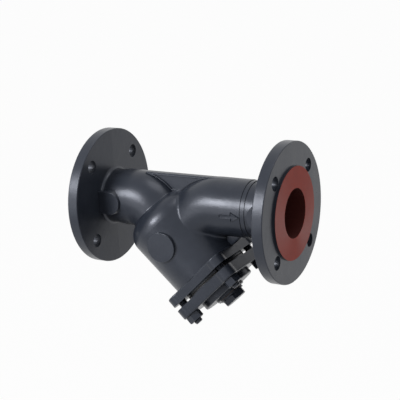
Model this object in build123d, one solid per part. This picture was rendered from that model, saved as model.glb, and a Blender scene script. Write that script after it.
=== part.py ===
from build123d import *
import os
from math import cos, radians, sin, sqrt, tan

# Flanged Y-pattern pipeline strainer, nominal bore 65, pressure class 16, all sizes in millimetres.
# The origin is the centre of the inlet raised face, X runs to the outlet and Z is up.
# The strainer leg leaves the run at 45 degrees, down and towards the outlet, in the plane Y = 0.

# Pipe run and its two flanges
FACE_TO_FACE = 290.0
FLANGE_DIAMETER = 185.0
FLANGE_THICKNESS = 19.0
FLANGE_EDGE_ROUND = 1.2
FLANGE_BACK_DRAFT = 0.9
RAISED_FACE_DIAMETER = 122.0
RAISED_FACE_HEIGHT = 3.0
BOLT_CIRCLE = 145.0
BOLT_COUNT = 4
BOLT_HOLE_DIAMETER = 18.0
OUTLET_HOLE_OVERSIZE = 0.5
BORE = 65.0
NECK_DIAMETER = 73.6
BARREL_DIAMETER = 77.0
HUB_FILLET = 4.0
INLET_NECK_LENGTH = 17.0
OUTLET_NECK_LENGTH = 36.0
NECK_BAND_LENGTH = 6.0
NECK_BAND_DIAMETER = 75.4

# Strainer leg, measured from the point where its axis crosses the axis of the run
LEG_CROSSING = 72.5
LEG_ANGLE = 45.0
INLET_BEND_RADIUS = 39.5
SHOULDER_START = 16.6
SHOULDER_ROUND = 26.0
LEG_DIAMETER = 112.0
LEG_DRAFT = 2.1
OUTLET_BRANCH_ALONG = 65.0
OUTLET_BEND_RADIUS = 45.0
INLET_CREASE_FILLET = 2.0
OUTLET_CREASE_FILLET = 5.0

# Inside of the leg
SCREEN_SEAT_ALONG = 18.5
SCREEN_SEAT_DEPTH = 6.0
CHAMBER_DIAMETER = 92.0
CHAMBER_CONE_LENGTH = 8.0

# Web between the inlet barrel and the outlet barrel, with a bead round its sunk panel
WEB_THICKNESS = 8.0
WEB_DEPTH = 60.0
WEB_TOP_MARGIN = 1.4
WEB_PANEL_SINK = 1.2
WEB_PANEL_FLOOR = 15.6
WEB_BEAD_WIDTH = 1.9
WEB_BEAD_HEIGHT = 0.9
WEB_BEAD_ROUND = 0.4
WEB_BEAD_GAP = 0.1

# Round pads on both sides of the casting
LEG_PAD_DIAMETER = 41.0
LEG_PAD_FACE = 57.0
LEG_PAD_ALONG_SHIFT = 3.2
NECK_PAD_FACE_DIAMETER = 31.0
NECK_PAD_FACE = 42.0
NECK_PAD_FLARE = 3.0
NECK_PAD_FLARE_DEPTH = 14.0
NECK_PAD_FROM_FACE = 34.0
PAD_EDGE_ROUND = 0.8

# Square flange at the foot of the leg, and the cover bolted under it
LEG_FLANGE_BACK = 124.1
LEG_FLANGE_THICKNESS = 13.2
EAR_RADIUS = 13.2
EAR_STEP = 2.0
EAR_BLEND = 5.0
STUD_COUNT = 4
STUD_TO_LAND = 4.75
LAND_WIDTH = 8.4
LAND_HEIGHT = 2.2
GASKET_THICKNESS = 2.0
CAST_EDGE_ROUND = 2.0
COVER_THICKNESS = 15.0
COVER_BOSS_DIAMETER = 79.0
COVER_BOSS_HEIGHT = 8.5
PLUG_BOSS_DIAMETER = 44.0
PLUG_BOSS_HEIGHT = 3.2
COVER_SEAT_DEPTH = 13.0
COVER_CAVITY_DIAMETER = 58.0
COVER_CAVITY_DEPTH = 6.0

# Studs and nuts
STUD_DIAMETER = 12.0
STUD_ENGAGEMENT = 11.0
STUD_OVERHANG = 4.7
STUD_HOLE_DIAMETER = 13.5
STUD_END_CHAMFER = 1.0
NUT_ACROSS_FLATS = 19.0
NUT_HEIGHT = 10.0
HEX_CORNER_CHAMFER_ANGLE = 30.0

# Drain plug and its sealing ring
PLUG_THREAD_DIAMETER = 26.4
PLUG_THREAD_LENGTH = 12.0
PLUG_ACROSS_FLATS = 30.0
PLUG_HEAD_HEIGHT = 8.3
PLUG_COLLAR_DIAMETER = 36.0
PLUG_COLLAR_HEIGHT = 1.8
PLUG_SOCKET_DIAMETER = 17.0
PLUG_SOCKET_DEPTH = 12.0
SEAL_THICKNESS = 1.5
SEAL_DIAMETER = 35.0

# Screen basket: two rings, a punched sleeve and a fine mesh lining inside it
SCREEN_RING_DIAMETER = 74.4
SCREEN_RING_WALL = 3.4
SCREEN_RING_HEIGHT = 10.0
SLEEVE_WALL = 1.2
SLEEVE_INSERTION = 7.0
MESH_WALL = 0.6
SLEEVE_HOLE_DIAMETER = 8.4
SLEEVE_HOLES_AROUND = 14
SLEEVE_HOLE_PITCH = 12.5
SLEEVE_PLAIN_END = 4.0

# Clearances
SLIDE_CLEARANCE = 0.08
THREAD_CLEARANCE = 0.05
SEAT_CLEARANCE = 0.2
DRAW_OUT_CLEARANCE = 1.8

FLANGE_RADIUS = FLANGE_DIAMETER / 2
BORE_RADIUS = BORE / 2
NECK_RADIUS = NECK_DIAMETER / 2
BARREL_RADIUS = BARREL_DIAMETER / 2
NECK_BAND_RADIUS = NECK_BAND_DIAMETER / 2
LEG_RADIUS = LEG_DIAMETER / 2
CHAMBER_RADIUS = CHAMBER_DIAMETER / 2
SCREEN_RING_RADIUS = SCREEN_RING_DIAMETER / 2
SEAT_RADIUS = SCREEN_RING_RADIUS + SLIDE_CLEARANCE
STUD_RADIUS = STUD_DIAMETER / 2

# The screen is drawn out through the mouth; the land, the studs and the square follow one another.
MOUTH_RADIUS = SCREEN_RING_RADIUS + DRAW_OUT_CLEARANCE
LAND_RADIUS = MOUTH_RADIUS + LAND_WIDTH
STUD_CIRCLE_RADIUS = LAND_RADIUS + STUD_TO_LAND + STUD_RADIUS
STUD_OFFSET = STUD_CIRCLE_RADIUS * sin(radians(45))
LEG_FLANGE_SQUARE = 2 * (STUD_OFFSET + EAR_RADIUS - EAR_STEP)

# The leg's own directions: along its axis and across it, both in the plane Y = 0
LEG_DIRECTION = Vector(cos(radians(LEG_ANGLE)), 0, -sin(radians(LEG_ANGLE)))
LEG_ACROSS = Vector(sin(radians(LEG_ANGLE)), 0, cos(radians(LEG_ANGLE)))
CROSSING = Vector(LEG_CROSSING, 0, 0)

# Stations along the leg
LEG_FLANGE_FACE = LEG_FLANGE_BACK + LEG_FLANGE_THICKNESS
GASKET_TOP = LEG_FLANGE_FACE + LAND_HEIGHT
COVER_LAND = GASKET_TOP + GASKET_THICKNESS
COVER_TOP = COVER_LAND + LAND_HEIGHT
COVER_BOTTOM = COVER_TOP + COVER_THICKNESS
COVER_BOSS_FACE = COVER_BOTTOM + COVER_BOSS_HEIGHT
PLUG_FACE = COVER_BOSS_FACE + PLUG_BOSS_HEIGHT
COVER_SEAT = COVER_LAND + COVER_SEAT_DEPTH
SCREEN_BOTTOM = COVER_SEAT - SEAT_CLEARANCE
NUT_END = COVER_BOTTOM + NUT_HEIGHT


def leg_point(along, across=0.0, side=0.0):
    return CROSSING + LEG_DIRECTION * along + LEG_ACROSS * across + Vector(0, side, 0)


def leg_plane(along):
    return Plane(origin=leg_point(along), x_dir=LEG_ACROSS, z_dir=LEG_DIRECTION)


def run_plane(x):
    return Plane(origin=(x, 0, 0), x_dir=(0, 1, 0), z_dir=(1, 0, 0))


def cylinder_on(plane, radius, length):
    return extrude(plane * Circle(radius), length)


def cone_on(plane, start_radius, end_radius, length):
    end_plane = plane.offset(length)
    return loft([plane * Circle(start_radius), end_plane * Circle(end_radius)])


def pipe_along(path, radius):
    start = Plane(origin=path @ 0, z_dir=path % 0)
    return sweep(start * Circle(radius), path=path)


def stud_places():
    return PolarLocations(STUD_CIRCLE_RADIUS, STUD_COUNT, start_angle=180 / STUD_COUNT).locations


def bolt_places():
    return PolarLocations(BOLT_CIRCLE / 2, BOLT_COUNT, start_angle=180 / BOLT_COUNT).locations


def drill(plane, places, radius, depth):
    return [cylinder_on(plane * place, radius, depth) for place in places]


def hexagon(across_flats):
    return RegularPolygon(across_flats / 2, 6, major_radius=False)


def hex_prism(plane, across_flats, height):
    # The corners are turned off at both ends, as on any turned hexagon.
    prism = extrude(plane * hexagon(across_flats), height)
    corner = across_flats / sqrt(3)
    drop = (corner - across_flats / 2) * tan(radians(HEX_CORNER_CHAMFER_ANGLE))
    barrel = cylinder_on(plane.offset(drop), corner, height - 2 * drop)
    barrel += cone_on(plane, across_flats / 2, corner, drop)
    barrel += cone_on(plane.offset(height - drop), corner, across_flats / 2, drop)
    return prism & barrel


def make_pipe_flange(face, inward):
    # inward is 1 at the inlet and -1 at the outlet, and points from the face into the casting.
    raised = cylinder_on(run_plane(face), RAISED_FACE_DIAMETER / 2, inward * FLANGE_THICKNESS)
    disc_start = run_plane(face + inward * RAISED_FACE_HEIGHT)
    disc = cylinder_on(disc_start, FLANGE_RADIUS, inward * (FLANGE_THICKNESS - RAISED_FACE_HEIGHT))
    flange = raised + disc
    back = face + inward * FLANGE_THICKNESS
    reach = FLANGE_RADIUS + 1
    fall = reach * tan(radians(FLANGE_BACK_DRAFT))
    for side in (-1, 1):
        outline = Polyline(
            (back, 0), (back + inward, 0), (back + inward, side * reach),
            (back - inward * fall, side * reach), close=True,
        )
        flange -= extrude(make_face(outline), reach, both=True)
    rims = [e for e in flange.edges() if e.center().X != 0 and is_rim(e)]
    return fillet(rims, FLANGE_EDGE_ROUND)


def is_rim(edge):
    point = edge @ 0.37
    return abs(sqrt(point.Y ** 2 + point.Z ** 2) - FLANGE_RADIUS) < 0.01


def make_run():
    # The inlet barrel bends down into the leg and the outlet barrel leaves the leg square to its axis.
    # A turned band steps each barrel down to its neck.
    inlet_start = FLANGE_THICKNESS - 1
    inlet_neck_end = FLANGE_THICKNESS + INLET_NECK_LENGTH
    barrel_start = inlet_neck_end + NECK_BAND_LENGTH
    barrel_end = FACE_TO_FACE - FLANGE_THICKNESS - OUTLET_NECK_LENGTH - NECK_BAND_LENGTH
    outlet_neck_start = barrel_end + NECK_BAND_LENGTH
    outlet_end = FACE_TO_FACE - FLANGE_THICKNESS + 1
    inlet_path = FilletPolyline(
        Vector(barrel_start, 0, 0), CROSSING, leg_point(SHOULDER_START + 4), radius=INLET_BEND_RADIUS
    )
    outlet_path = FilletPolyline(
        leg_point(OUTLET_BRANCH_ALONG), outlet_turn(), Vector(barrel_end, 0, 0),
        radius=OUTLET_BEND_RADIUS,
    )
    inlet = cylinder_on(run_plane(inlet_start), NECK_RADIUS, inlet_neck_end - inlet_start)
    inlet += cylinder_on(run_plane(inlet_neck_end), NECK_BAND_RADIUS, NECK_BAND_LENGTH)
    inlet += pipe_along(inlet_path, BARREL_RADIUS)
    outlet = pipe_along(outlet_path, BARREL_RADIUS)
    outlet += cylinder_on(run_plane(barrel_end), NECK_BAND_RADIUS, NECK_BAND_LENGTH)
    outlet += cylinder_on(run_plane(outlet_neck_start), NECK_RADIUS, outlet_end - outlet_neck_start)
    return inlet, outlet


def outlet_turn():
    # Where the branch, square to the leg, meets the axis of the run.
    reach = OUTLET_BRANCH_ALONG * sin(radians(LEG_ANGLE)) / cos(radians(LEG_ANGLE))
    return leg_point(OUTLET_BRANCH_ALONG, reach)


def make_leg():
    # A barrel with a round shoulder at the inlet end and a little draft towards its flange.
    shoulder_radius = LEG_RADIUS - SHOULDER_ROUND
    shoulder_end = SHOULDER_START + SHOULDER_ROUND
    foot = LEG_FLANGE_BACK + 1
    foot_radius = LEG_RADIUS - (foot - shoulder_end) * tan(radians(LEG_DRAFT))
    shoulder = RadiusArc((shoulder_radius, SHOULDER_START), (LEG_RADIUS, shoulder_end), -SHOULDER_ROUND)
    outline = Polyline((0, foot), (0, SHOULDER_START), (shoulder_radius, SHOULDER_START))
    side = Polyline((LEG_RADIUS, shoulder_end), (foot_radius, foot), (0, foot))
    profile = make_face([outline, shoulder, side])
    section = Plane(origin=leg_point(0), x_dir=LEG_ACROSS, z_dir=(0, 1, 0))
    axis = Axis(leg_point(0), LEG_DIRECTION)
    return revolve(section * profile, axis)


def make_web():
    # A plate in the middle plane that fills the notch between the two barrels, up to their top line.
    # On both sides a bead runs round a sunk panel, close along both barrels and under the top edge.
    left = LEG_CROSSING
    right = outlet_turn().X + OUTLET_BEND_RADIUS
    plate = Pos((left + right) / 2, BARREL_RADIUS - WEB_DEPTH / 2) * Rectangle(right - left, WEB_DEPTH)
    web = extrude(Plane.XZ * plate, WEB_THICKNESS / 2, both=True)
    outside = notch_outline(0)
    panel = notch_outline(WEB_BEAD_WIDTH)
    for side in (-1, 1):
        floor = Plane.XZ.offset(side * (WEB_THICKNESS / 2 - WEB_PANEL_SINK))
        bead = extrude(floor * outside, side * (WEB_PANEL_SINK + WEB_BEAD_HEIGHT))
        bead -= extrude(floor * panel, side * WEB_THICKNESS)
        crown = bead.faces().sort_by(Axis.Y)[0 if side > 0 else -1]
        web -= extrude(floor * panel, side * WEB_THICKNESS)
        web += fillet(crown.edges(), WEB_BEAD_ROUND)
    return web


def notch_outline(inset):
    # The notch between the two bends, flat above and below, kept back by inset on every side.
    top = BARREL_RADIUS - WEB_TOP_MARGIN - inset
    bottom = WEB_PANEL_FLOOR + inset
    inlet, outlet = bend_centres()
    left, right = inlet[0].X, outlet[0].X
    outline = Pos((left + right) / 2, (top + bottom) / 2) * Rectangle(right - left, top - bottom)
    for centre, bend in (inlet, outlet):
        outline -= Pos(centre.X, centre.Z) * Circle(bend + BARREL_RADIUS + WEB_BEAD_GAP + inset)
    return outline


def bend_centres():
    half_turn = tan(radians(LEG_ANGLE / 2))
    inlet = Vector(LEG_CROSSING - INLET_BEND_RADIUS * half_turn, 0, -INLET_BEND_RADIUS)
    outlet = Vector(outlet_turn().X + OUTLET_BEND_RADIUS * half_turn, 0, -OUTLET_BEND_RADIUS)
    return [(inlet, INLET_BEND_RADIUS), (outlet, OUTLET_BEND_RADIUS)]


def along_leg(point):
    return (point - CROSSING).dot(LEG_DIRECTION)


def make_pads():
    # Round machining pads: one on each side of the leg, one on each side of both necks.
    pads = []
    for side in (-1, 1):
        leg_centre = leg_point(OUTLET_BRANCH_ALONG + LEG_PAD_ALONG_SHIFT)
        face_out = Plane(origin=leg_centre, x_dir=(1, 0, 0), z_dir=(0, side, 0))
        pad = cylinder_on(face_out, LEG_PAD_DIAMETER / 2, LEG_PAD_FACE)
        pads.append(round_face(pad, side))
        for flange_back, away in ((FLANGE_THICKNESS, 1), (FACE_TO_FACE - FLANGE_THICKNESS, -1)):
            pads += make_neck_pad(flange_back, away, side)
    return pads


def make_neck_pad(flange_back, away, side):
    # A round pad with a flared root, and a block of the same width that ties it to the flange.
    reach = NECK_PAD_FROM_FACE - FLANGE_THICKNESS
    neck = Plane(origin=(flange_back + away * reach, 0, 0), x_dir=(-away, 0, 0), z_dir=(0, side, 0))
    face_radius = NECK_PAD_FACE_DIAMETER / 2
    root = NECK_PAD_FACE - NECK_PAD_FLARE_DEPTH
    pad = cylinder_on(neck, face_radius + NECK_PAD_FLARE, root)
    pad += cone_on(neck.offset(root), face_radius + NECK_PAD_FLARE, face_radius, NECK_PAD_FLARE_DEPTH)
    block = extrude(neck * Pos((reach + 1) / 2, 0) * Rectangle(reach + 1, 2 * face_radius), NECK_PAD_FACE)
    return [round_face(pad, side), round_face(block, side)]


def round_face(pad, side):
    face = pad.faces().sort_by(Axis.Y)[-1 if side > 0 else 0]
    return fillet(face.edges(), PAD_EDGE_ROUND)


def lobed_outline():
    # A square with a round ear at each stud, and hollows blended where ear and side meet.
    outline = RectangleRounded(LEG_FLANGE_SQUARE, LEG_FLANGE_SQUARE, EAR_RADIUS)
    outline += [place * Circle(EAR_RADIUS) for place in stud_places()]
    return fillet(outline.vertices(), EAR_BLEND)


def lobed_plate(start, thickness, rounded):
    plate = extrude(leg_plane(start) * lobed_outline(), thickness)
    face = plate.faces().sort_by(Axis(leg_point(0), LEG_DIRECTION))[rounded]
    return fillet(face.edges(), CAST_EDGE_ROUND)


def make_waterways():
    # Everything that is hollow in the casting, as one solid to cut away.
    inlet_path = FilletPolyline(
        Vector(-1, 0, 0), CROSSING, leg_point(SCREEN_SEAT_ALONG + 1), radius=INLET_BEND_RADIUS
    )
    outlet_path = FilletPolyline(
        leg_point(OUTLET_BRANCH_ALONG, CHAMBER_RADIUS / 2), outlet_turn(),
        Vector(FACE_TO_FACE + 1, 0, 0), radius=OUTLET_BEND_RADIUS,
    )
    seat_end = SCREEN_SEAT_ALONG + SCREEN_SEAT_DEPTH
    chamber_start = seat_end + CHAMBER_CONE_LENGTH
    water = pipe_along(inlet_path, BORE_RADIUS)
    water += cylinder_on(leg_plane(SCREEN_SEAT_ALONG), SEAT_RADIUS, SCREEN_SEAT_DEPTH)
    water += cone_on(leg_plane(seat_end), SEAT_RADIUS, CHAMBER_RADIUS, CHAMBER_CONE_LENGTH)
    chamber_end = LEG_FLANGE_BACK - CHAMBER_CONE_LENGTH
    water += cylinder_on(leg_plane(chamber_start), CHAMBER_RADIUS, chamber_end - chamber_start)
    water += cone_on(leg_plane(chamber_end), CHAMBER_RADIUS, MOUTH_RADIUS, CHAMBER_CONE_LENGTH)
    mouth_end = GASKET_TOP + 1
    water += cylinder_on(leg_plane(LEG_FLANGE_BACK), MOUTH_RADIUS, mouth_end - LEG_FLANGE_BACK)
    water += pipe_along(outlet_path, BORE_RADIUS)
    return water


def make_body():
    inlet, outlet = make_run()
    casting = inlet + make_leg()
    crease = [e for e in casting.edges() if is_shoulder_crease(e)]
    leg_side = fillet(crease, INLET_CREASE_FILLET)
    casting = leg_side + outlet
    crotch = new_edges(leg_side, outlet, combined=casting)
    casting = fillet(crotch, OUTLET_CREASE_FILLET)
    casting += make_web()
    for face, inward in ((0, 1), (FACE_TO_FACE, -1)):
        casting += make_pipe_flange(face, inward)
        casting = fillet(hub_edges(casting, face + inward * FLANGE_THICKNESS), HUB_FILLET)
    for pad in make_pads():
        casting += pad
    casting += lobed_plate(LEG_FLANGE_BACK, LEG_FLANGE_THICKNESS, 0)
    casting += cylinder_on(leg_plane(LEG_FLANGE_FACE), LAND_RADIUS, LAND_HEIGHT)
    casting -= make_waterways()
    # The real holes are all equal. Both flanges have theirs on the same four axes, so the outlet's are built
    # a little wider, only for the two rings of holes to be told apart by their size.
    outlet_back = FACE_TO_FACE - FLANGE_THICKNESS
    for start, oversize in ((-1, 0), (outlet_back - 1, OUTLET_HOLE_OVERSIZE)):
        hole_radius = (BOLT_HOLE_DIAMETER + oversize) / 2
        casting -= drill(run_plane(start), bolt_places(), hole_radius, FLANGE_THICKNESS + 2)
    tapped = leg_plane(LEG_FLANGE_FACE - STUD_ENGAGEMENT)
    casting -= drill(tapped, stud_places(), STUD_RADIUS, STUD_ENGAGEMENT + 1)
    return casting


def is_shoulder_crease(edge):
    # The circle on the leg's axis where the inlet barrel's skin meets the shoulder.
    station = along_leg(edge @ 0)
    square_to_leg = abs(station - along_leg(edge @ 0.5)) < 0.01
    in_shoulder = 0 < station - SHOULDER_START < SHOULDER_ROUND / 4
    return square_to_leg and in_shoulder and edge.geom_type == GeomType.CIRCLE


def hub_edges(casting, back):
    edges = []
    for edge in casting.edges():
        point = edge @ 0.5
        near_back = abs(point.X - back) < 1
        on_neck = abs(sqrt(point.Y ** 2 + point.Z ** 2) - NECK_RADIUS) < 0.1
        if near_back and on_neck and edge.length > NECK_RADIUS:
            edges.append(edge)
    return edges


def make_cover():
    cover = lobed_plate(COVER_TOP, COVER_THICKNESS, -1)
    cover += cylinder_on(leg_plane(COVER_LAND), LAND_RADIUS, LAND_HEIGHT + 1)
    boss = cylinder_on(leg_plane(COVER_BOTTOM - 1), COVER_BOSS_DIAMETER / 2, COVER_BOSS_HEIGHT + 1)
    boss = fillet(boss.edges().sort_by(Axis(leg_point(0), LEG_DIRECTION))[-1], CAST_EDGE_ROUND)
    plug_boss = cylinder_on(leg_plane(COVER_BOSS_FACE - 1), PLUG_BOSS_DIAMETER / 2, PLUG_BOSS_HEIGHT + 1)
    cover += boss
    cover += plug_boss
    cover -= cylinder_on(leg_plane(COVER_LAND - 1), SEAT_RADIUS, COVER_SEAT_DEPTH + 1)
    cavity_radius = COVER_CAVITY_DIAMETER / 2
    cover -= cylinder_on(leg_plane(COVER_SEAT - 1), cavity_radius, COVER_CAVITY_DEPTH + 1)
    tapped_radius = PLUG_THREAD_DIAMETER / 2 + THREAD_CLEARANCE
    floor = COVER_SEAT + COVER_CAVITY_DEPTH
    cover -= cylinder_on(leg_plane(floor - 1), tapped_radius, PLUG_FACE + 2 - floor)
    depth = LAND_HEIGHT + COVER_THICKNESS + 1
    cover -= drill(leg_plane(COVER_LAND), stud_places(), STUD_HOLE_DIAMETER / 2, depth)
    return cover


def make_gasket():
    ring = Circle(LAND_RADIUS) - Circle(MOUTH_RADIUS + SEAT_CLEARANCE)
    return extrude(leg_plane(GASKET_TOP) * ring, GASKET_THICKNESS)


def make_stud(place):
    start = leg_plane(LEG_FLANGE_FACE - STUD_ENGAGEMENT)
    end = NUT_END + STUD_OVERHANG
    stud = extrude(start * (place * Circle(STUD_RADIUS)), end - LEG_FLANGE_FACE + STUD_ENGAGEMENT)
    ends = stud.edges().filter_by(GeomType.CIRCLE)
    return chamfer(ends, STUD_END_CHAMFER)


def make_nut(place):
    seat = Plane(leg_plane(COVER_BOTTOM) * place)
    nut = hex_prism(seat, NUT_ACROSS_FLATS, NUT_HEIGHT)
    return nut - cylinder_on(seat.offset(-1), STUD_RADIUS + THREAD_CLEARANCE, NUT_HEIGHT + 2)


def make_seal():
    ring = Circle(SEAL_DIAMETER / 2) - Circle(PLUG_THREAD_DIAMETER / 2 + SEAT_CLEARANCE)
    return extrude(leg_plane(PLUG_FACE) * ring, SEAL_THICKNESS)


def make_plug():
    collar_face = PLUG_FACE + SEAL_THICKNESS
    plug = cylinder_on(
        leg_plane(collar_face - PLUG_THREAD_LENGTH), PLUG_THREAD_DIAMETER / 2, PLUG_THREAD_LENGTH
    )
    plug = chamfer(plug.edges().sort_by(Axis(leg_point(0), LEG_DIRECTION))[0], STUD_END_CHAMFER)
    plug += cylinder_on(leg_plane(collar_face), PLUG_COLLAR_DIAMETER / 2, PLUG_COLLAR_HEIGHT)
    head = leg_plane(collar_face + PLUG_COLLAR_HEIGHT)
    plug += hex_prism(head, PLUG_ACROSS_FLATS, PLUG_HEAD_HEIGHT)
    bottom = collar_face - PLUG_THREAD_LENGTH
    return plug - cylinder_on(leg_plane(bottom - 1), PLUG_SOCKET_DIAMETER / 2, PLUG_SOCKET_DEPTH + 1)


def make_screen_ring(start, socket_start):
    # The sleeve is let into a groove in each ring, between the ring's rim and its inner lip.
    rim = Circle(SCREEN_RING_RADIUS) - Circle(SCREEN_RING_RADIUS - SCREEN_RING_WALL)
    ring = extrude(leg_plane(start) * rim, SCREEN_RING_HEIGHT)
    groove = Circle(sleeve_radius()) - Circle(sleeve_radius() - SLEEVE_WALL)
    return ring - extrude(leg_plane(socket_start) * groove, SLEEVE_INSERTION)


def sleeve_radius():
    return SCREEN_RING_RADIUS - SCREEN_RING_WALL / 4


def make_sleeve():
    # Punched holes in staggered rows; each cutter goes right through and makes two holes.
    start = sleeve_start()
    length = sleeve_end() - start
    wall = Circle(sleeve_radius()) - Circle(sleeve_radius() - SLEEVE_WALL)
    sleeve = extrude(leg_plane(start) * wall, length)
    first = start + SLEEVE_INSERTION + SLEEVE_PLAIN_END + SLEEVE_HOLE_DIAMETER / 2
    last = sleeve_end() - SLEEVE_INSERTION - SLEEVE_PLAIN_END - SLEEVE_HOLE_DIAMETER / 2
    rows = int((last - first) / SLEEVE_HOLE_PITCH) + 1
    margin = (last - first - (rows - 1) * SLEEVE_HOLE_PITCH) / 2
    step = 360 / SLEEVE_HOLES_AROUND
    cutters = []
    for row in range(rows):
        turn = step / 2 * (row % 2)
        station = leg_plane(first + margin + row * SLEEVE_HOLE_PITCH)
        for index in range(SLEEVE_HOLES_AROUND // 2):
            across = station * Rot(0, 0, turn + index * step) * Rot(0, 90, 0)
            cutters.append(across * Cylinder(SLEEVE_HOLE_DIAMETER / 2, SCREEN_RING_DIAMETER))
    return sleeve - cutters


def sleeve_start():
    return SCREEN_SEAT_ALONG + SCREEN_RING_HEIGHT - SLEEVE_INSERTION


def sleeve_end():
    return SCREEN_BOTTOM - SCREEN_RING_HEIGHT + SLEEVE_INSERTION


def make_mesh():
    outer = sleeve_radius() - SLEEVE_WALL
    wall = Circle(outer) - Circle(outer - MESH_WALL)
    start = SCREEN_SEAT_ALONG + SCREEN_RING_HEIGHT
    end = SCREEN_BOTTOM - SCREEN_RING_HEIGHT
    return extrude(leg_plane(start) * wall, end - start)


os.makedirs("parts", exist_ok=True)

nodes = {
    "body": make_body(),
    "cover": make_cover(),
    "cover_gasket": make_gasket(),
    "drain_plug": make_plug(),
    "plug_seal": make_seal(),
    "screen_upper_ring": make_screen_ring(SCREEN_SEAT_ALONG, sleeve_start()),
    "screen_lower_ring": make_screen_ring(
        SCREEN_BOTTOM - SCREEN_RING_HEIGHT, SCREEN_BOTTOM - SCREEN_RING_HEIGHT
    ),
    "screen_sleeve": make_sleeve(),
    "screen_mesh": make_mesh(),
}
for number, place in enumerate(stud_places(), 1):
    nodes[f"stud_{number}"] = make_stud(place)
    nodes[f"nut_{number}"] = make_nut(place)

for name, shape in nodes.items():
    shape.label = name
    export_step(shape, f"parts/{name}.step")
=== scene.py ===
import bpy
from math import cos, pi, radians, sin
from mathutils import Matrix, Vector


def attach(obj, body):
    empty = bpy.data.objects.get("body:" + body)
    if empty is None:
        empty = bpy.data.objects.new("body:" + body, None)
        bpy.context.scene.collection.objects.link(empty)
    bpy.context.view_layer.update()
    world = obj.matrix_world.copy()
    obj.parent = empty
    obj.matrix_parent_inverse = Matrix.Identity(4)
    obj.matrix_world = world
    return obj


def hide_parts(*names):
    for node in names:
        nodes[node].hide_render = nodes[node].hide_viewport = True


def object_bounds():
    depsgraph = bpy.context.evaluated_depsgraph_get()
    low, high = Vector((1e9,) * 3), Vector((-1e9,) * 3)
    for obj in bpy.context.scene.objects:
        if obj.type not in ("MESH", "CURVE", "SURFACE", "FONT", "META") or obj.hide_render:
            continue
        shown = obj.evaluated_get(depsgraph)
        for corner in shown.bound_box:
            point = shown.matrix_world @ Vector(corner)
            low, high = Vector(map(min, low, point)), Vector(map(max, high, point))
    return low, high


# A flanged Y strainer in satin dark paint, with red-oxide machined faces. All lengths are in metres.
# X runs along the pipe from inlet to outlet and Z is up, as in the frame.

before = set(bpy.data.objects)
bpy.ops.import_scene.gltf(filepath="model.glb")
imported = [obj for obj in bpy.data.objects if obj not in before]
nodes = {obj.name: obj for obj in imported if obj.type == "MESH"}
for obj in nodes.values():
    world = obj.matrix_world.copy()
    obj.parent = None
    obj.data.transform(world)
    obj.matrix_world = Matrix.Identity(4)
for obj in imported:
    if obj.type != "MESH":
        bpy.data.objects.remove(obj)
cad_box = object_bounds()

MM = 0.001

# Colours of the materials, with the dark and the light side of those that vary in patches
PAINT_DARK = "#1a1e26"
PAINT_LIGHT = "#272b33"
PAINT_SHINE = "#eef2ff"
PRIMER_DARK = "#76251a"
PRIMER_LIGHT = "#8f3223"
# The waterway primer is darker than the face primer as painted shade in the hollow bores and chamber
WATERWAY_PRIMER_WITH_PAINTED_SHADE = "#3a120e"
BARE_IRON = "#7d7a76"
IRON_BLOOM = "#5c4336"
PLUG_STEEL = "#8a8781"
GASKET_DARK = "#101214"
GASKET_LIGHT = "#24272a"
SEAL_DARK = "#1c1b1f"
SEAL_LIGHT = "#30211e"
STAINLESS = "#b9bab8"
WIRE_DARK = "#8d8f8e"
WIRE_LIGHT = "#c3c4c2"
PAPER_DARK = "#9a9a99"
PAPER_LIGHT = "#a3a3a2"

# Sizes of the patterns in the materials, and heights of their relief
CASTING_SWELL = 18 * MM
CASTING_LUMP = 5 * MM
CASTING_GRAIN = 1.6 * MM
SWELL_HEIGHT = 0.35 * MM
LUMP_HEIGHT = 0.12 * MM
PAINTED_GRAIN_HEIGHT = 0.06 * MM
WATERWAY_GRAIN_HEIGHT = 0.15 * MM
PAINT_CLOUD = 25 * MM
PAINT_RUN = 4 * MM
PAINT_RUN_HEIGHT = 0.08 * MM
PRIMER_PATCH = 14 * MM
FACE_TURNING_PITCH = 1.0 * MM
FACE_TURNING_DEPTH = 0.02 * MM
IRON_BLOOM_SIZE = 6 * MM
LEG_TURNING_PITCH = 0.8 * MM
LEG_TURNING_DEPTH = 0.03 * MM
PLUG_THREAD_PITCH = 1.814 * MM
PLUG_THREAD_DEPTH = 0.5 * MM
GASKET_FIBRE = 0.7 * MM
GASKET_RELIEF = 0.05 * MM
SEAL_GRAIN = 0.9 * MM
SEAL_RELIEF = 0.03 * MM
SHEET_STREAK = 0.8 * MM
SHEET_STRETCH = 0.06
SHEET_RELIEF = 0.01 * MM
WIRE_PATCH = 9 * MM
PAPER_FIBRE = 3 * MM

# Lamps: name, direction from the middle of the run, distance, width of the square lamp, watts
LAMPS = (
    ("key", (-0.42, -0.80, 0.40), 1.5, 0.5, 22),
    ("low_left", (-0.47, -0.84, -0.18), 1.5, 0.8, 4),
    ("top", (0.20, 0.10, 1.00), 1.4, 0.7, 4),
    ("right", (0.90, -0.35, 0.30), 1.6, 0.5, 3),
)
ROOM_LIGHT = 0.4
PAPER_GLOW = 0.97
FLOOR_SIZE = 24.0
# The cover draws down and away below the object, so the floor lies this far under it.
FLOOR_DROP = 0.2

# Viewpoint: angles about the middle of the pipe run, and the distance from it
VIEW_AZIMUTH = radians(29.21)
VIEW_ELEVATION = radians(15.51)
VIEW_ROLL = radians(-2.69)
VIEW_DISTANCE = 1.5214
VIEW_SIDE_STEP = 0.00597
VIEW_UP_STEP = 0.00402
VIEW_LENS_MM = 102.69
VIEW_SENSOR_MM = 36
VIEW_CLIP_END = 20

# The pipe run, as the casting has it
FACE_TO_FACE = cad_box[1][0] - cad_box[0][0]
RUN_MIDDLE = Vector((FACE_TO_FACE / 2, 0, 0))
BORE_RADIUS = 32.5 * MM
BARREL_RADIUS = 38.5 * MM
RAISED_FACE_RADIUS = 61 * MM
# The web crosses the run's axis between the two elbows, and the bore lies outside that stretch.
INLET_BORE_END = 78 * MM
OUTLET_BORE_START = 160 * MM

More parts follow.
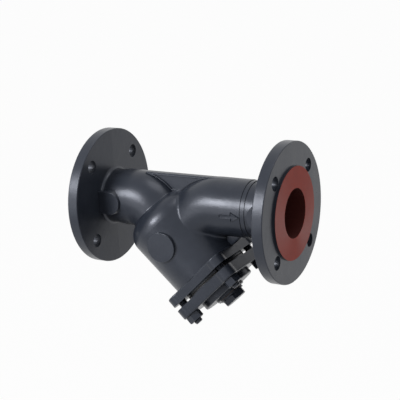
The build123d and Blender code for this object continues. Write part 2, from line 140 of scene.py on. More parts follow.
# The leg, with stations along it from its crossing with the run
LEG_CROSSING = Vector((72.5 * MM, 0, 0))
LEG_TILT = radians(45)
LEG_DIRECTION = Vector((1, 0, -1)).normalized()
LEG_ACROSS = Vector((1, 0, 1)).normalized()
SEAT_START = 18.5 * MM
SEAT_END = 24.5 * MM
SEAT_RADIUS = 37.3 * MM
CHAMBER_RADIUS = 46 * MM
CHAMBER_CONE = 8 * MM
MOUTH_START = 124.1 * MM
MOUTH_RADIUS = 39 * MM
LAND_FACE = 139.5 * MM
LAND_RADIUS = 47.4 * MM
COVER_LAND = 141.5 * MM
COVER_SOCKET_END = 161.7 * MM
COVER_BORE_RADIUS = 37.28 * MM
PLUG_COLLAR_FACE = 171.9 * MM

# Studs, with a rolled metric thread
STUD_COUNT = 4
STUD_CIRCLE_RADIUS = 58.15 * MM
STUD_START = 126.3 * MM
STUD_END = 173.4 * MM
STUD_CREST = 6 * MM
STUD_ROOT = 5.1 * MM
STUD_PITCH = 1.75 * MM
STUD_CHAMFER = 0.7 * MM
THREAD_RUN_IN = 0.6 * MM
THREAD_SINK = 0.05 * MM
THREAD_STEPS = 24
THREAD_FLAT = STUD_PITCH / 8
STUD_SIDES = 32

# Woven wire lining of the screen
MESH_START = 28.5 * MM
MESH_END = 144.3 * MM
MESH_RADIUS = 34.75 * MM
WIRE_RADIUS = 0.17 * MM
WIRE_SWAY = 0.2 * MM
WIRE_SIDES = 4
HOOP_COUNT = 58
UPRIGHT_COUNT = 110

# Flow arrow cast on the near side of the outlet barrel
ARROW_TAIL = 200.5 * MM
ARROW_NECK = 216.5 * MM
ARROW_TIP = 228 * MM
ARROW_MIDDLE = -1.7 * MM
ARROW_SHAFT_WIDTH = 4.4 * MM
ARROW_HEAD_WIDTH = 12.7 * MM
ARROW_TIP_SHARE = 0.04
ARROW_HEIGHT = 1.5 * MM
ARROW_BLANK_DEPTH = 6 * MM
ARROW_RIM = 0.8 * MM
ARROW_RECESS = 1.0 * MM
ARROW_EDGE = 0.2 * MM
ARROW_EDGE_STEPS = 2
ARROW_EDGE_OVER = radians(40)
ARROW_TOP_FACING = 0.7
BARREL_SIDES = 256

# Gusset in the crotch between the outlet barrel and the leg
GUSSET_START = 181 * MM
GUSSET_END = 216 * MM
GUSSET_TOP = -37 * MM
GUSSET_FOOT = -52 * MM
GUSSET_FOOT_MIDDLE = 198 * MM
GUSSET_FOOT_SHARE = 0.12
GUSSET_THICKNESS = 9 * MM
GUSSET_EDGE = 2 * MM
GUSSET_EDGE_STEPS = 3

# Masks reach this far past a wall, and this is well under the gap to the next one.
SKIN = 0.3 * MM
SMOOTH_UNDER = radians(35)
# Corners closer than this are one corner.
SEAM = 0.005 * MM
# A face looks along an axis when its normal has at least this share along it.
FACING = 0.9


def add_camera():
    back = Vector((
        sin(VIEW_AZIMUTH) * cos(VIEW_ELEVATION), -cos(VIEW_AZIMUTH) * cos(VIEW_ELEVATION), sin(VIEW_ELEVATION)
    ))
    level = Vector((cos(VIEW_AZIMUTH), sin(VIEW_AZIMUTH), 0))
    upright = back.cross(level)
    right = cos(VIEW_ROLL) * level + sin(VIEW_ROLL) * upright
    up = cos(VIEW_ROLL) * upright - sin(VIEW_ROLL) * level
    place = RUN_MIDDLE + back * VIEW_DISTANCE + right * VIEW_SIDE_STEP + up * VIEW_UP_STEP
    data = bpy.data.cameras.new("view")
    data.lens = VIEW_LENS_MM
    data.sensor_width = VIEW_SENSOR_MM
    data.clip_end = VIEW_CLIP_END
    camera = bpy.data.objects.new("view", data)
    bpy.context.scene.collection.objects.link(camera)
    turn = Matrix((right, up, back)).transposed().to_4x4()
    camera.matrix_world = Matrix.Translation(place) @ turn
    bpy.context.scene.camera = camera


def linear(hex_colour):
    # sRGB hex to the linear values that nodes take
    channels = [int(hex_colour[i:i + 2], 16) / 255 for i in (1, 3, 5)]
    return [c / 12.92 if c <= 0.04045 else ((c + 0.055) / 1.055) ** 2.4 for c in channels] + [1.0]


def node(tree, kind, settings=None, links=None):
    """Adds one node: settings are properties or socket values by name, links are socket: (node, output)."""
    made = tree.nodes.new(kind)
    for key, value in (settings or {}).items():
        if not isinstance(key, int) and hasattr(made, key):
            setattr(made, key, value)
        else:
            made.inputs[key].default_value = value
    for key, (source, output) in (links or {}).items():
        tree.links.new(source.outputs[output], made.inputs[key])
    return made


def new_material(name):
    material = bpy.data.materials.new(name)
    material.use_nodes = True
    material.node_tree.nodes.clear()
    return material, material.node_tree


def finish_material(material, tree, shader):
    node(tree, "ShaderNodeOutputMaterial", links={"Surface": (shader, 0)})
    return material


def run_measures(tree):
    """Distance from the axis of the pipe run, and the place along it."""
    place = node(tree, "ShaderNodeTexCoord")
    flat = node(tree, "ShaderNodeVectorMath", {"operation": "MULTIPLY", 1: (0, 1, 1)}, {0: (place, "Object")})
    radius = node(tree, "ShaderNodeVectorMath", {"operation": "LENGTH"}, {0: (flat, 0)})
    axes = node(tree, "ShaderNodeSeparateXYZ", links={0: (place, "Object")})
    return (radius, "Value"), (axes, "X")


def leg_measures(tree):
    """Distance from the axis of the strainer leg, and the place along it from the crossing."""
    place = node(tree, "ShaderNodeTexCoord")
    start = {"operation": "SUBTRACT", 1: LEG_CROSSING}
    from_crossing = node(tree, "ShaderNodeVectorMath", start, {0: (place, "Object")})
    dot = {"operation": "DOT_PRODUCT", 1: LEG_DIRECTION}
    along = node(tree, "ShaderNodeVectorMath", dot, {0: (from_crossing, 0)})
    shadow = {"operation": "PROJECT", 1: LEG_DIRECTION}
    on_axis = node(tree, "ShaderNodeVectorMath", shadow, {0: (from_crossing, 0)})
    off_axis = node(
        tree, "ShaderNodeVectorMath", {"operation": "SUBTRACT"}, {0: (from_crossing, 0), 1: (on_axis, 0)}
    )
    radius = node(tree, "ShaderNodeVectorMath", {"operation": "LENGTH"}, {0: (off_axis, 0)})
    return (radius, "Value"), (along, "Value")


def region(tree, *limits):
    """One where every measure lies between its low and high value, and nothing elsewhere."""
    mask = None
    for measure, low, high in limits:
        band = {"operation": "COMPARE", 1: (low + high) / 2, 2: (high - low) / 2}
        inside = node(tree, "ShaderNodeMath", band, {0: measure})
        if mask:
            inside = node(tree, "ShaderNodeMath", {"operation": "MULTIPLY"}, {0: (mask, 0), 1: (inside, 0)})
        mask = inside
    return mask


def any_region(tree, *masks):
    """One where at least one of the masks is one."""
    whole = masks[0]
    for mask in masks[1:]:
        whole = node(tree, "ShaderNodeMath", {"operation": "MAXIMUM"}, {0: (whole, 0), 1: (mask, 0)})
    return whole


def sand_cast_bump(tree, grain_height):
    """The skin of a sand casting: grains on lumps, on a slow swell."""
    place = node(tree, "ShaderNodeTexCoord")
    wave = node(
        tree, "ShaderNodeTexNoise", {"Scale": 1 / CASTING_SWELL, "Detail": 1.0}, {"Vector": (place, "Object")}
    )
    lump = node(
        tree, "ShaderNodeTexNoise", {"Scale": 1 / CASTING_LUMP, "Detail": 2.0}, {"Vector": (place, "Object")}
    )
    grain = node(
        tree, "ShaderNodeTexNoise", {"Scale": 1 / CASTING_GRAIN, "Detail": 3.0, "Roughness": 0.55},
        {"Vector": (place, "Object")},
    )
    swell = node(tree, "ShaderNodeBump", {"Strength": 0.5, "Distance": SWELL_HEIGHT}, {"Height": (wave, 0)})
    lumps = node(
        tree, "ShaderNodeBump", {"Strength": 0.6, "Distance": LUMP_HEIGHT},
        {"Height": (lump, 0), "Normal": (swell, 0)},
    )
    return node(
        tree, "ShaderNodeBump", {"Strength": 1.0, "Distance": grain_height},
        {"Height": (grain, 0), "Normal": (lumps, 0)},
    )


def drip_bump(tree):
    """Paint that has run a little and set."""
    place = node(tree, "ShaderNodeTexCoord")
    swell = node(
        tree, "ShaderNodeTexNoise", {"Scale": 1 / PAINT_RUN, "Detail": 2.0}, {"Vector": (place, "Object")}
    )
    return node(
        tree, "ShaderNodeBump", {"Strength": 0.5, "Distance": PAINT_RUN_HEIGHT}, {"Height": (swell, 0)}
    )


def turned_bump(tree, measure, pitch, depth):
    """Fine rings left by the lathe tool, one each pitch of the given measure."""
    turns = node(tree, "ShaderNodeMath", {"operation": "MULTIPLY", 1: 2 * pi / pitch}, {0: measure})
    wave = node(tree, "ShaderNodeMath", {"operation": "SINE"}, {0: (turns, 0)})
    return node(tree, "ShaderNodeBump", {"Strength": 0.4, "Distance": depth}, {"Height": (wave, 0)})


def paint_shader(tree, bump):
    # Satin alkyd paint: a dark blue-grey film, a little uneven in tone and gloss where it lies thicker
    place = node(tree, "ShaderNodeTexCoord")
    clouds = node(
        tree, "ShaderNodeTexNoise", {"Scale": 1 / PAINT_CLOUD, "Detail": 4.0, "Roughness": 0.6},
        {"Vector": (place, "Object")},
    )
    tone = node(tree, "ShaderNodeMix", {
        "data_type": "RGBA", 6: linear(PAINT_DARK), 7: linear(PAINT_LIGHT),
    }, {0: (clouds, 0)})
    sheen = node(
        tree, "ShaderNodeMapRange", {"From Min": 0.3, "From Max": 0.7, "To Min": 0.27, "To Max": 0.36},
        {"Value": (clouds, 0)},
    )
    return node(
        tree, "ShaderNodeBsdfPrincipled",
        {"Specular IOR Level": 0.4, "Specular Tint": linear(PAINT_SHINE)},
        {"Base Color": (tone, 2), "Roughness": (sheen, 0), "Normal": (bump, 0)},
    )


def red_oxide_shader(tree, run_radius):
    # Red-oxide primer over a lathe-turned face: the cut rings spread the light into two fans
    place = node(tree, "ShaderNodeTexCoord")
    patches = node(
        tree, "ShaderNodeTexNoise", {"Scale": 1 / PRIMER_PATCH, "Detail": 3.0, "Roughness": 0.6},
        {"Vector": (place, "Object")},
    )
    tangent = node(tree, "ShaderNodeTangent", {"direction_type": "RADIAL", "axis": "X"})
    tone = node(tree, "ShaderNodeMix", {
        "data_type": "RGBA", 6: linear(PRIMER_DARK), 7: linear(PRIMER_LIGHT),
    }, {0: (patches, 0)})
    return node(
        tree, "ShaderNodeBsdfPrincipled",
        {"Roughness": 0.42, "Anisotropic": 0.8, "Specular IOR Level": 0.18},
        {
            "Base Color": (tone, 2), "Tangent": (tangent, 0),
            "Normal": (turned_bump(tree, run_radius, FACE_TURNING_PITCH, FACE_TURNING_DEPTH), 0),
        },
    )


def waterway_shader(tree):
    # Red-oxide primer on the rough cast waterway, duller than on the turned face, and coloured darker as
    # painted shade inside the hollow
    return node(
        tree, "ShaderNodeBsdfPrincipled",
        {"Base Color": linear(WATERWAY_PRIMER_WITH_PAINTED_SHADE), "Roughness": 0.7, "Specular IOR Level": 0.2},
        {"Normal": (sand_cast_bump(tree, WATERWAY_GRAIN_HEIGHT), 0)},
    )


def bare_iron_shader(tree, leg_radius):
    # Machined grey iron, wiped with oil: dull metal with turning rings and a brown bloom here and there
    place = node(tree, "ShaderNodeTexCoord")
    bloom = node(
        tree, "ShaderNodeTexNoise", {"Scale": 1 / IRON_BLOOM_SIZE, "Detail": 4.0, "Roughness": 0.65},
        {"Vector": (place, "Object")},
    )
    stain = node(
        tree, "ShaderNodeMapRange", {"From Min": 0.52, "From Max": 0.68}, {"Value": (bloom, 0)}
    )
    tone = node(tree, "ShaderNodeMix", {
        "data_type": "RGBA", 6: linear(BARE_IRON), 7: linear(IRON_BLOOM),
    }, {0: (stain, 0)})
    dull = node(
        tree, "ShaderNodeMapRange", {"From Min": 0.4, "From Max": 0.7, "To Min": 0.32, "To Max": 0.55},
        {"Value": (bloom, 0)},
    )
    return node(
        tree, "ShaderNodeBsdfPrincipled", {"Metallic": 0.9},
        {
            "Base Color": (tone, 2), "Roughness": (dull, 0),
            "Normal": (turned_bump(tree, leg_radius, LEG_TURNING_PITCH, LEG_TURNING_DEPTH), 0),
        },
    )


def waterway_region(tree, run_radius, run_along, leg_radius, leg_along):
    """The hollow of the casting: the bores at both ends, and the strainer chamber behind its seat."""
    in_bore = (run_radius, -SKIN, BORE_RADIUS + SKIN)
    inlet_bore = region(tree, (run_along, -SKIN, INLET_BORE_END), in_bore)
    outlet_bore = region(tree, (run_along, OUTLET_BORE_START, FACE_TO_FACE + SKIN), in_bore)
    wall = node(
        tree, "ShaderNodeMapRange",
        {
            "From Min": SEAT_END, "From Max": SEAT_END + CHAMBER_CONE,
            "To Min": SEAT_RADIUS + SKIN, "To Max": CHAMBER_RADIUS + SKIN,
        },
        {"Value": leg_along},
    )
    inside_wall = node(tree, "ShaderNodeMath", {"operation": "LESS_THAN"}, {0: leg_radius, 1: (wall, 0)})
    in_leg = region(tree, (leg_along, SEAT_START, MOUTH_START))
    chamber = node(tree, "ShaderNodeMath", {"operation": "MULTIPLY"}, {0: (inside_wall, 0), 1: (in_leg, 0)})
    return any_region(tree, inlet_bore, outlet_bore, chamber)


def machined_region(tree, leg_radius, leg_along):
    """The mouth of the leg, the land round it and the screen's seat are machined and stay bare."""
    mouth = region(
        tree, (leg_radius, -SKIN, MOUTH_RADIUS + SKIN), (leg_along, MOUTH_START, LAND_FACE + SKIN)
    )
    land = region(
        tree, (leg_radius, 0, LAND_RADIUS + SKIN), (leg_along, LAND_FACE - SKIN / 3, LAND_FACE + SKIN)
    )
    seat = region(
        tree, (leg_radius, BORE_RADIUS + SKIN, SEAT_RADIUS + SKIN), (leg_along, SEAT_START - SKIN, SEAT_END)
    )
    return any_region(tree, mouth, land, seat)


def casting_finish():
    # Sand-cast grey iron: paint outside, red-oxide primer on the pipe faces and in the waterway, where its
    # colour is darkened as painted shade
    material, tree = new_material("satin_alkyd_paint_on_cast_iron")
    run_radius, run_along = run_measures(tree)
    leg_radius, leg_along = leg_measures(tree)
    on_ring = (run_radius, -SKIN, RAISED_FACE_RADIUS + SKIN)
    inlet_face = region(tree, (run_along, -SKIN, SKIN), on_ring)
    outlet_face = region(tree, (run_along, FACE_TO_FACE - SKIN, FACE_TO_FACE + SKIN), on_ring)
    hollow = waterway_region(tree, run_radius, run_along, leg_radius, leg_along)
    paint = paint_shader(tree, sand_cast_bump(tree, PAINTED_GRAIN_HEIGHT))
    cast = node(
        tree, "ShaderNodeMixShader", links={0: (hollow, 0), 1: (paint, 0), 2: (waterway_shader(tree), 0)}
    )
    machined = machined_region(tree, leg_radius, leg_along)
    cut = node(
        tree, "ShaderNodeMixShader",
        links={0: (machined, 0), 1: (cast, 0), 2: (bare_iron_shader(tree, leg_radius), 0)},
    )
    faces = any_region(tree, inlet_face, outlet_face)
    whole = node(
        tree, "ShaderNodeMixShader",
        links={0: (faces, 0), 1: (cut, 0), 2: (red_oxide_shader(tree, run_radius), 0)},
    )
    return finish_material(material, tree, whole)


def cover_finish():
    # The cover is cast and painted as the body is; its land and the screen's socket are machined and bare.
    material, tree = new_material("satin_alkyd_paint_on_cast_cover")
    leg_radius, leg_along = leg_measures(tree)
    land = region(tree, (leg_along, 0, COVER_LAND + SKIN / 3))
    socket = region(tree, (leg_along, 0, COVER_SOCKET_END), (leg_radius, -SKIN, COVER_BORE_RADIUS + SKIN))
    paint = paint_shader(tree, sand_cast_bump(tree, PAINTED_GRAIN_HEIGHT))
    machined = any_region(tree, land, socket)
    whole = node(
        tree, "ShaderNodeMixShader",
        links={0: (machined, 0), 1: (paint, 0), 2: (bare_iron_shader(tree, leg_radius), 0)},
    )
    return finish_material(material, tree, whole)


def fastener_finish():
    # Turned and milled steel under the same paint: smoother than the castings, with a faint drip swell
    material, tree = new_material("satin_alkyd_paint_on_steel")
    return finish_material(material, tree, paint_shader(tree, drip_bump(tree)))


def plug_finish():
    # The plug's head is painted in place; its thread went in bare, so a fine helix shows on bright steel.
    material, tree = new_material("satin_alkyd_paint_on_steel_plug")
    leg_radius, leg_along = leg_measures(tree)
    steel = node(
        tree, "ShaderNodeBsdfPrincipled",
        {"Base Color": linear(PLUG_STEEL), "Metallic": 1.0, "Roughness": 0.36},
        {"Normal": (turned_bump(tree, leg_along, PLUG_THREAD_PITCH, PLUG_THREAD_DEPTH), 0)},
    )
    in_cover = region(tree, (leg_along, 0, PLUG_COLLAR_FACE))
    whole = node(
        tree, "ShaderNodeMixShader",
        links={0: (in_cover, 0), 1: (paint_shader(tree, drip_bump(tree)), 0), 2: (steel, 0)},
    )
    return finish_material(material, tree, whole)


def gasket_finish():
    # Compressed fibre with graphite: nearly black and dull, with short pale fibres pressed flat
    material, tree = new_material("compressed_graphite_fibre_sheet")
    place = node(tree, "ShaderNodeTexCoord")
    fibres = node(
        tree, "ShaderNodeTexNoise", {"Scale": 1 / GASKET_FIBRE, "Detail": 4.0, "Roughness": 0.7},
        {"Vector": (place, "Object")},
    )
    tone = node(tree, "ShaderNodeMix", {
        "data_type": "RGBA", 6: linear(GASKET_DARK), 7: linear(GASKET_LIGHT),
    }, {0: (fibres, 0)})
    bump = node(tree, "ShaderNodeBump", {"Strength": 0.5, "Distance": GASKET_RELIEF}, {"Height": (fibres, 0)})
    return finish_material(material, tree, node(
        tree, "ShaderNodeBsdfPrincipled", {"Roughness": 0.72}, {"Base Color": (tone, 2), "Normal": (bump, 0)}
    ))


def seal_finish():
    # Vulcanised fibre ring under overspray: nearly black, with a little of its red-brown left
    material, tree = new_material("vulcanised_fibre_with_overspray")
    place = node(tree, "ShaderNodeTexCoord")
    grain = node(
        tree, "ShaderNodeTexNoise", {"Scale": 1 / SEAL_GRAIN, "Detail": 3.0, "Roughness": 0.6},
        {"Vector": (place, "Object")},
    )
    tone = node(tree, "ShaderNodeMix", {
        "data_type": "RGBA", 6: linear(SEAL_DARK), 7: linear(SEAL_LIGHT),
    }, {0: (grain, 0)})
    bump = node(tree, "ShaderNodeBump", {"Strength": 0.4, "Distance": SEAL_RELIEF}, {"Height": (grain, 0)})
    return finish_material(material, tree, node(
        tree, "ShaderNodeBsdfPrincipled", {"Roughness": 0.5}, {"Base Color": (tone, 2), "Normal": (bump, 0)}
    ))


def screen_finish():
    # Rolled stainless sheet, pickled after punching: soft streaks along the axis and a wide, dull highlight
    material, tree = new_material("rolled_stainless_steel_sheet")
    place = node(tree, "ShaderNodeTexCoord")
    turn = node(
        tree, "ShaderNodeMapping", {"Rotation": (0, -LEG_TILT, 0), "Scale": (1, 1, SHEET_STRETCH)},
        {"Vector": (place, "Object")},
    )
    streaks = node(
        tree, "ShaderNodeTexNoise", {"Scale": 1 / SHEET_STREAK, "Detail": 3.0}, {"Vector": (turn, 0)}
    )
    dull = node(
        tree, "ShaderNodeMapRange", {"From Min": 0.3, "From Max": 0.7, "To Min": 0.28, "To Max": 0.42},
        {"Value": (streaks, 0)},
    )
    bump = node(tree, "ShaderNodeBump", {"Strength": 0.3, "Distance": SHEET_RELIEF}, {"Height": (streaks, 0)})
    return finish_material(material, tree, node(
        tree, "ShaderNodeBsdfPrincipled",
        {"Base Color": linear(STAINLESS), "Metallic": 1.0, "Anisotropic": 0.4},
        {"Roughness": (dull, 0), "Normal": (bump, 0)},
    ))


def wire_finish():
    # Drawn stainless wire: brighter than the sheet, a little darkened by oil in patches
    material, tree = new_material("drawn_stainless_steel_wire")
    place = node(tree, "ShaderNodeTexCoord")
    patches = node(
        tree, "ShaderNodeTexNoise", {"Scale": 1 / WIRE_PATCH, "Detail": 3.0}, {"Vector": (place, "Object")}
    )
    tone = node(tree, "ShaderNodeMix", {
        "data_type": "RGBA", 6: linear(WIRE_DARK), 7: linear(WIRE_LIGHT),
    }, {0: (patches, 0)})
    return finish_material(material, tree, node(
        tree, "ShaderNodeBsdfPrincipled", {"Metallic": 1.0, "Roughness": 0.3}, {"Base Color": (tone, 2)}
    ))


def seen_directly(tree):
    """One for camera rays and for rays that arrive by a reflection or through glass."""
    path = node(tree, "ShaderNodeLightPath")
    glossy = node(
        tree, "ShaderNodeMath", {"operation": "MAXIMUM"},
        {0: (path, "Is Camera Ray"), 1: (path, "Is Glossy Ray")},
    )
    return node(
        tree, "ShaderNodeMath", {"operation": "MAXIMUM"}, {0: (glossy, 0), 1: (path, "Is Transmission Ray")}
    )


def floor_finish():
    # White seamless paper: seen as white, with a soft shadow where the object stands before the lamps
    material, tree = new_material("white_seamless_paper")
    place = node(tree, "ShaderNodeTexCoord")
    fibre = node(
        tree, "ShaderNodeTexNoise", {"Scale": 1 / PAPER_FIBRE, "Detail": 3.0}, {"Vector": (place, "Object")}
    )
    tone = node(tree, "ShaderNodeMix", {
        "data_type": "RGBA", 6: linear(PAPER_DARK), 7: linear(PAPER_LIGHT),
    }, {0: (fibre, 0)})
    paper = node(tree, "ShaderNodeBsdfDiffuse", links={"Color": (tone, 2)})
    white = node(tree, "ShaderNodeEmission", {"Color": (1, 1, 1, 1), "Strength": 1.0})
    seen = node(tree, "ShaderNodeMixShader", {0: PAPER_GLOW}, {1: (paper, 0), 2: (white, 0)})
    whole = node(
        tree, "ShaderNodeMixShader", links={0: (seen_directly(tree), 0), 1: (paper, 0), 2: (seen, 0)}
    )
    return finish_material(material, tree, whole)


def select_only(*pieces):
    """Selects these pieces and nothing else, and makes the last one active."""
    bpy.ops.object.select_all(action="DESELECT")
    for piece in pieces:
        piece.select_set(True)
    bpy.context.view_layer.objects.active = pieces[-1]


def start_piece(name):
    """The primitive just added becomes a piece: its place goes into its mesh."""
    piece = bpy.context.object
    piece.name = name
    bpy.ops.object.transform_apply(location=True, rotation=True, scale=True)
    return piece


def pick_faces(piece, chosen):
    """In edit mode, selects the faces whose middle and normal satisfy the test, and nothing else."""
    bpy.ops.mesh.select_mode(type="FACE")
    bpy.ops.mesh.select_all(action="DESELECT")
    bpy.ops.object.mode_set(mode="OBJECT")
    for face in piece.data.polygons:
        face.select = chosen(face.center, face.normal)
    bpy.ops.object.mode_set(mode="EDIT")


def apply_boolean(piece, operation, tool):
    cut = piece.modifiers.new("cut", "BOOLEAN")
    cut.operation = operation
    cut.object = tool
    cut.solver = "EXACT"
    bpy.context.view_layer.objects.active = piece
    bpy.ops.object.modifier_apply(modifier=cut.name)
    bpy.data.objects.remove(tool, do_unlink=True)


def barrel_tool(radius):
    middle = ((ARROW_TAIL + ARROW_TIP) / 2, 0, 0)
    bpy.ops.mesh.primitive_cylinder_add(
        vertices=BARREL_SIDES, radius=radius, depth=2 * (ARROW_TIP - ARROW_TAIL), location=middle,
        rotation=(0, radians(90), 0),
    )
    return start_piece("barrel_tool")


def add_flow_arrow():
    """A raised arrow on the barrel's near side: a box drawn out to a head, cut to the barrel and hollowed."""
    shaft = ARROW_NECK - ARROW_TAIL
    bpy.ops.mesh.primitive_cube_add(
        size=1, location=(ARROW_TAIL + shaft / 2, -BARREL_RADIUS, ARROW_MIDDLE),
        scale=(shaft, ARROW_BLANK_DEPTH, ARROW_SHAFT_WIDTH),
    )
    arrow = start_piece("flow_arrow")
    bpy.ops.object.mode_set(mode="EDIT")
    pick_faces(arrow, lambda centre, normal: normal.x > FACING)
    widen = (1, 1, ARROW_HEAD_WIDTH / ARROW_SHAFT_WIDTH)
    neck = (ARROW_NECK, -BARREL_RADIUS, ARROW_MIDDLE)
    tip = (ARROW_TIP, -BARREL_RADIUS, ARROW_MIDDLE)
    bpy.ops.mesh.extrude_region_move(TRANSFORM_OT_translate={"value": (0, 0, 0)})
    bpy.ops.transform.resize(value=widen, center_override=neck)
    bpy.ops.mesh.extrude_region_move(TRANSFORM_OT_translate={"value": (ARROW_TIP - ARROW_NECK, 0, 0)})
    bpy.ops.transform.resize(value=(1, 1, ARROW_TIP_SHARE), center_override=tip)
    bpy.ops.object.mode_set(mode="OBJECT")
    apply_boolean(arrow, "INTERSECT", barrel_tool(BARREL_RADIUS + ARROW_HEIGHT))
    apply_boolean(arrow, "DIFFERENCE", barrel_tool(BARREL_RADIUS - ARROW_HEIGHT))
    select_only(arrow)
    bpy.ops.object.mode_set(mode="EDIT")
    top = BARREL_RADIUS + ARROW_HEIGHT / 2
    pick_faces(arrow, lambda centre, normal: (
        normal.y < -ARROW_TOP_FACING and Vector((0, centre.y, centre.z)).length > top
    ))
    bpy.ops.mesh.inset(thickness=ARROW_RIM, depth=-ARROW_RECESS)
    bpy.ops.object.mode_set(mode="OBJECT")
    edge = arrow.modifiers.new("edge", "BEVEL")
    edge.width = ARROW_EDGE
    edge.segments = ARROW_EDGE_STEPS
    edge.limit_method = "ANGLE"
    edge.angle_limit = ARROW_EDGE_OVER
    bpy.ops.object.modifier_apply(modifier=edge.name)
    bpy.ops.object.shade_smooth_by_angle(angle=SMOOTH_UNDER)
    return arrow


def add_crotch_gusset():
    """The cast gusset that closes the crotch: a box narrowed to its foot, with rounded edges."""
    length = GUSSET_END - GUSSET_START
    depth = GUSSET_TOP - GUSSET_FOOT
    bpy.ops.mesh.primitive_cube_add(
        size=1, location=(GUSSET_START + length / 2, 0, GUSSET_FOOT + depth / 2),
        scale=(length, GUSSET_THICKNESS, depth),
    )
    gusset = start_piece("crotch_gusset")
    bpy.ops.object.mode_set(mode="EDIT")
    pick_faces(gusset, lambda centre, normal: normal.z < -FACING)
    foot = (GUSSET_FOOT_MIDDLE, 0, GUSSET_FOOT)
    bpy.ops.transform.translate(value=(GUSSET_FOOT_MIDDLE - GUSSET_START - length / 2, 0, 0))
    bpy.ops.transform.resize(value=(GUSSET_FOOT_SHARE, 1, 1), center_override=foot)
    bpy.ops.mesh.select_all(action="SELECT")
    bpy.ops.mesh.bevel(offset=GUSSET_EDGE, segments=GUSSET_EDGE_STEPS)
    bpy.ops.object.mode_set(mode="OBJECT")
    bpy.ops.object.shade_smooth_by_angle(angle=SMOOTH_UNDER)
    return gusset


def lay_along_leg(piece, start, radius=0.0, turn=0.0):
    """Turns a piece built up the Z axis on to the leg, radius from its axis, with its place in its mesh."""
    side = LEG_DIRECTION.cross(LEG_ACROSS)
    leg_axes = Matrix((LEG_ACROSS, side, LEG_DIRECTION)).transposed().to_4x4()
    across = LEG_ACROSS * cos(turn) + side * sin(turn)
    place = LEG_CROSSING + LEG_DIRECTION * start + across * radius
    piece.matrix_world = Matrix.Translation(place) @ leg_axes
    select_only(piece)
    bpy.ops.object.transform_apply(location=True, rotation=True, scale=True)


def add_thread_ridge(length):
    """The thread: one tooth drawn edge by edge and wound up the stud, closed at both ends."""
    bpy.ops.mesh.primitive_plane_add(size=STUD_PITCH, location=(0, 0, 0))
    ridge = start_piece("ridge")
    bpy.ops.object.mode_set(mode="EDIT")
    bpy.ops.mesh.select_mode(type="VERT")
    bpy.ops.mesh.select_all(action="SELECT")
    bpy.ops.mesh.merge(type="CENTER")
    bpy.ops.transform.translate(value=(STUD_ROOT - THREAD_SINK, 0, THREAD_RUN_IN))
    depth = STUD_CREST - STUD_ROOT
    flank = (STUD_PITCH - THREAD_FLAT) / 2
    bpy.ops.mesh.extrude_region_move(TRANSFORM_OT_translate={"value": (depth, 0, flank)})
    bpy.ops.mesh.extrude_region_move(TRANSFORM_OT_translate={"value": (0, 0, THREAD_FLAT)})
    bpy.ops.mesh.extrude_region_move(TRANSFORM_OT_translate={"value": (-depth, 0, flank)})
    bpy.ops.object.mode_set(mode="OBJECT")
    wind = ridge.modifiers.new("wind", "SCREW")
    wind.axis = "Z"
    wind.angle = 2 * pi
    wind.screw_offset = STUD_PITCH
    wind.iterations = int((length - 2 * THREAD_RUN_IN) / STUD_PITCH) - 1
    wind.steps = wind.render_steps = THREAD_STEPS
    bpy.ops.object.modifier_apply(modifier=wind.name)
    bpy.ops.object.mode_set(mode="EDIT")
    bpy.ops.mesh.select_all(action="SELECT")
    bpy.ops.mesh.remove_doubles(threshold=SEAM)
    bpy.ops.mesh.fill_holes(sides=0)
    bpy.ops.mesh.select_all(action="SELECT")
    bpy.ops.mesh.normals_make_consistent(inside=False)
    bpy.ops.object.mode_set(mode="OBJECT")
    return ridge


def add_threaded_studs():
    """One stud, a plain core with chamfered ends and the thread wound round it, copied to its places."""
    length = STUD_END - STUD_START
    bpy.ops.mesh.primitive_cylinder_add(
        vertices=STUD_SIDES, radius=STUD_ROOT, depth=length, location=(0, 0, length / 2)
    )
    pattern = start_piece("stud_pattern")
    bpy.ops.object.mode_set(mode="EDIT")
    pick_faces(pattern, lambda centre, normal: abs(normal.z) > FACING)
    bpy.ops.mesh.bevel(offset=STUD_CHAMFER, segments=1)
    bpy.ops.object.mode_set(mode="OBJECT")
    ridge = add_thread_ridge(length)
    select_only(ridge, pattern)
    bpy.ops.object.join()
    bpy.ops.object.shade_smooth_by_angle(angle=SMOOTH_UNDER)
    studs = []
    for number in range(1, STUD_COUNT + 1):
        stud = bpy.data.objects.new(f"stud_{number}_threaded", pattern.data.copy())
        bpy.context.scene.collection.objects.link(stud)
        turn = radians(180 / STUD_COUNT + 360 / STUD_COUNT * (number - 1))
        lay_along_leg(stud, STUD_START, STUD_CIRCLE_RADIUS, turn)
        studs.append(stud)
    bpy.data.objects.remove(pattern, do_unlink=True)
    return studs


def add_upright(sway, step):
    """One wire along the leg, extruded hoop by hoop with a sway to alternate sides."""
    bpy.ops.mesh.primitive_circle_add(
        vertices=WIRE_SIDES, radius=WIRE_RADIUS, fill_type="NGON", location=(MESH_RADIUS, 0, 0)
    )
    upright = start_piece("upright")
    bpy.ops.object.mode_set(mode="EDIT")
    bpy.ops.mesh.select_mode(type="FACE")
    bpy.ops.mesh.select_all(action="SELECT")
    place = 0.0
    for index in range(HOOP_COUNT):
        side = sway if index % 2 else -sway
        for target in (side, 0.0):
            bpy.ops.mesh.extrude_region_move(
                TRANSFORM_OT_translate={"value": (target - place, 0, step / 2)}
            )
            place = target
    bpy.ops.mesh.select_all(action="SELECT")
    bpy.ops.mesh.normals_make_consistent(inside=False)
    bpy.ops.object.mode_set(mode="OBJECT")
    return upright


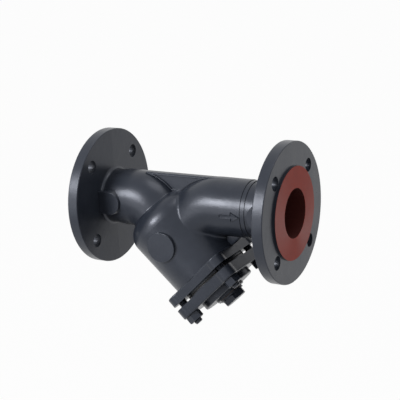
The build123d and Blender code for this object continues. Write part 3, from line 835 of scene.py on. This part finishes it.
def add_woven_mesh():
    """Woven wire lining: straight hoops, with wires along the leg that pass over and under them in turn.

    The openings are drawn about 2 mm, coarser than a real lining of about 1 mm, so that they show.
    """
    step = (MESH_END - MESH_START) / HOOP_COUNT
    bpy.ops.mesh.primitive_torus_add(
        major_segments=UPRIGHT_COUNT, minor_segments=WIRE_SIDES,
        major_radius=MESH_RADIUS, minor_radius=WIRE_RADIUS, location=(0, 0, step / 2),
    )
    lining = start_piece("woven_wire_lining")
    stack = lining.modifiers.new("stack", "ARRAY")
    stack.count = HOOP_COUNT
    stack.use_relative_offset = False
    stack.use_constant_offset = True
    stack.constant_offset_displace = (0, 0, step)
    bpy.ops.object.modifier_apply(modifier=stack.name)
    over, under = [add_upright(WIRE_SWAY * side, step) for side in (1, -1)]
    under.rotation_euler.z = 2 * pi / UPRIGHT_COUNT
    select_only(under)
    bpy.ops.object.transform_apply(location=False, rotation=True, scale=False)
    select_only(under, over)
    bpy.ops.object.join()
    turned = bpy.data.objects.new("turned", None)
    turned.rotation_euler.z = 4 * pi / UPRIGHT_COUNT
    bpy.context.scene.collection.objects.link(turned)
    ring = over.modifiers.new("ring", "ARRAY")
    ring.count = UPRIGHT_COUNT // 2
    ring.use_relative_offset = False
    ring.use_object_offset = True
    ring.offset_object = turned
    bpy.context.view_layer.update()
    bpy.ops.object.modifier_apply(modifier=ring.name)
    bpy.data.objects.remove(turned, do_unlink=True)
    select_only(over, lining)
    bpy.ops.object.join()
    bpy.ops.object.shade_smooth()
    lay_along_leg(lining, MESH_START)
    return lining


def add_floor():
    bpy.ops.mesh.primitive_plane_add(size=FLOOR_SIZE, location=(0, 0, cad_box[0][2] - FLOOR_DROP))
    floor = start_piece("floor")
    floor.data.materials.append(floor_finish())


def add_lights():
    for name, direction, distance, size, power in LAMPS:
        data = bpy.data.lights.new(name, "AREA")
        data.size = size
        data.energy = power
        lamp = bpy.data.objects.new(name, data)
        bpy.context.scene.collection.objects.link(lamp)
        lamp.location = RUN_MIDDLE + Vector(direction).normalized() * distance
        aim = RUN_MIDDLE - lamp.location
        lamp.rotation_euler = aim.to_track_quat("-Z", "Y").to_euler()
    world = bpy.data.worlds.new("white_room")
    bpy.context.scene.world = world
    world.use_nodes = True
    tree = world.node_tree
    tree.nodes.clear()
    soft = node(tree, "ShaderNodeBackground", {"Color": (1, 1, 1, 1), "Strength": ROOM_LIGHT})
    white = node(tree, "ShaderNodeBackground", {"Color": (1, 1, 1, 1), "Strength": 1.0})
    mix = node(tree, "ShaderNodeMixShader", links={0: (seen_directly(tree), 0), 1: (soft, 0), 2: (white, 0)})
    node(tree, "ShaderNodeOutputWorld", links={"Surface": (mix, 0)})


add_camera()
add_lights()
add_floor()

casting_paint = casting_finish()
fastener_paint = fastener_finish()
stainless = screen_finish()
wire = wire_finish()
finishes = {
    "body": casting_paint,
    "cover": cover_finish(),
    "cover_gasket": gasket_finish(),
    "plug_seal": seal_finish(),
    "drain_plug": plug_finish(),
    "screen_upper_ring": stainless,
    "screen_lower_ring": stainless,
    "screen_sleeve": stainless,
    "screen_mesh": wire,
}
for name, thing in nodes.items():
    thing.data.materials.clear()
    thing.data.materials.append(finishes.get(name, fastener_paint))

for cast_on in (add_flow_arrow(), add_crotch_gusset()):
    cast_on.data.materials.append(casting_paint)
    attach(cast_on, "casting")

for number, stud in enumerate(add_threaded_studs(), start=1):
    stud.data.materials.append(fastener_paint)
    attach(stud, "casting")
    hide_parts(f"stud_{number}")

lining = add_woven_mesh()
lining.data.materials.append(wire)
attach(lining, "screen")
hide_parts("screen_mesh")

bpy.context.scene.view_settings.view_transform = "Standard"
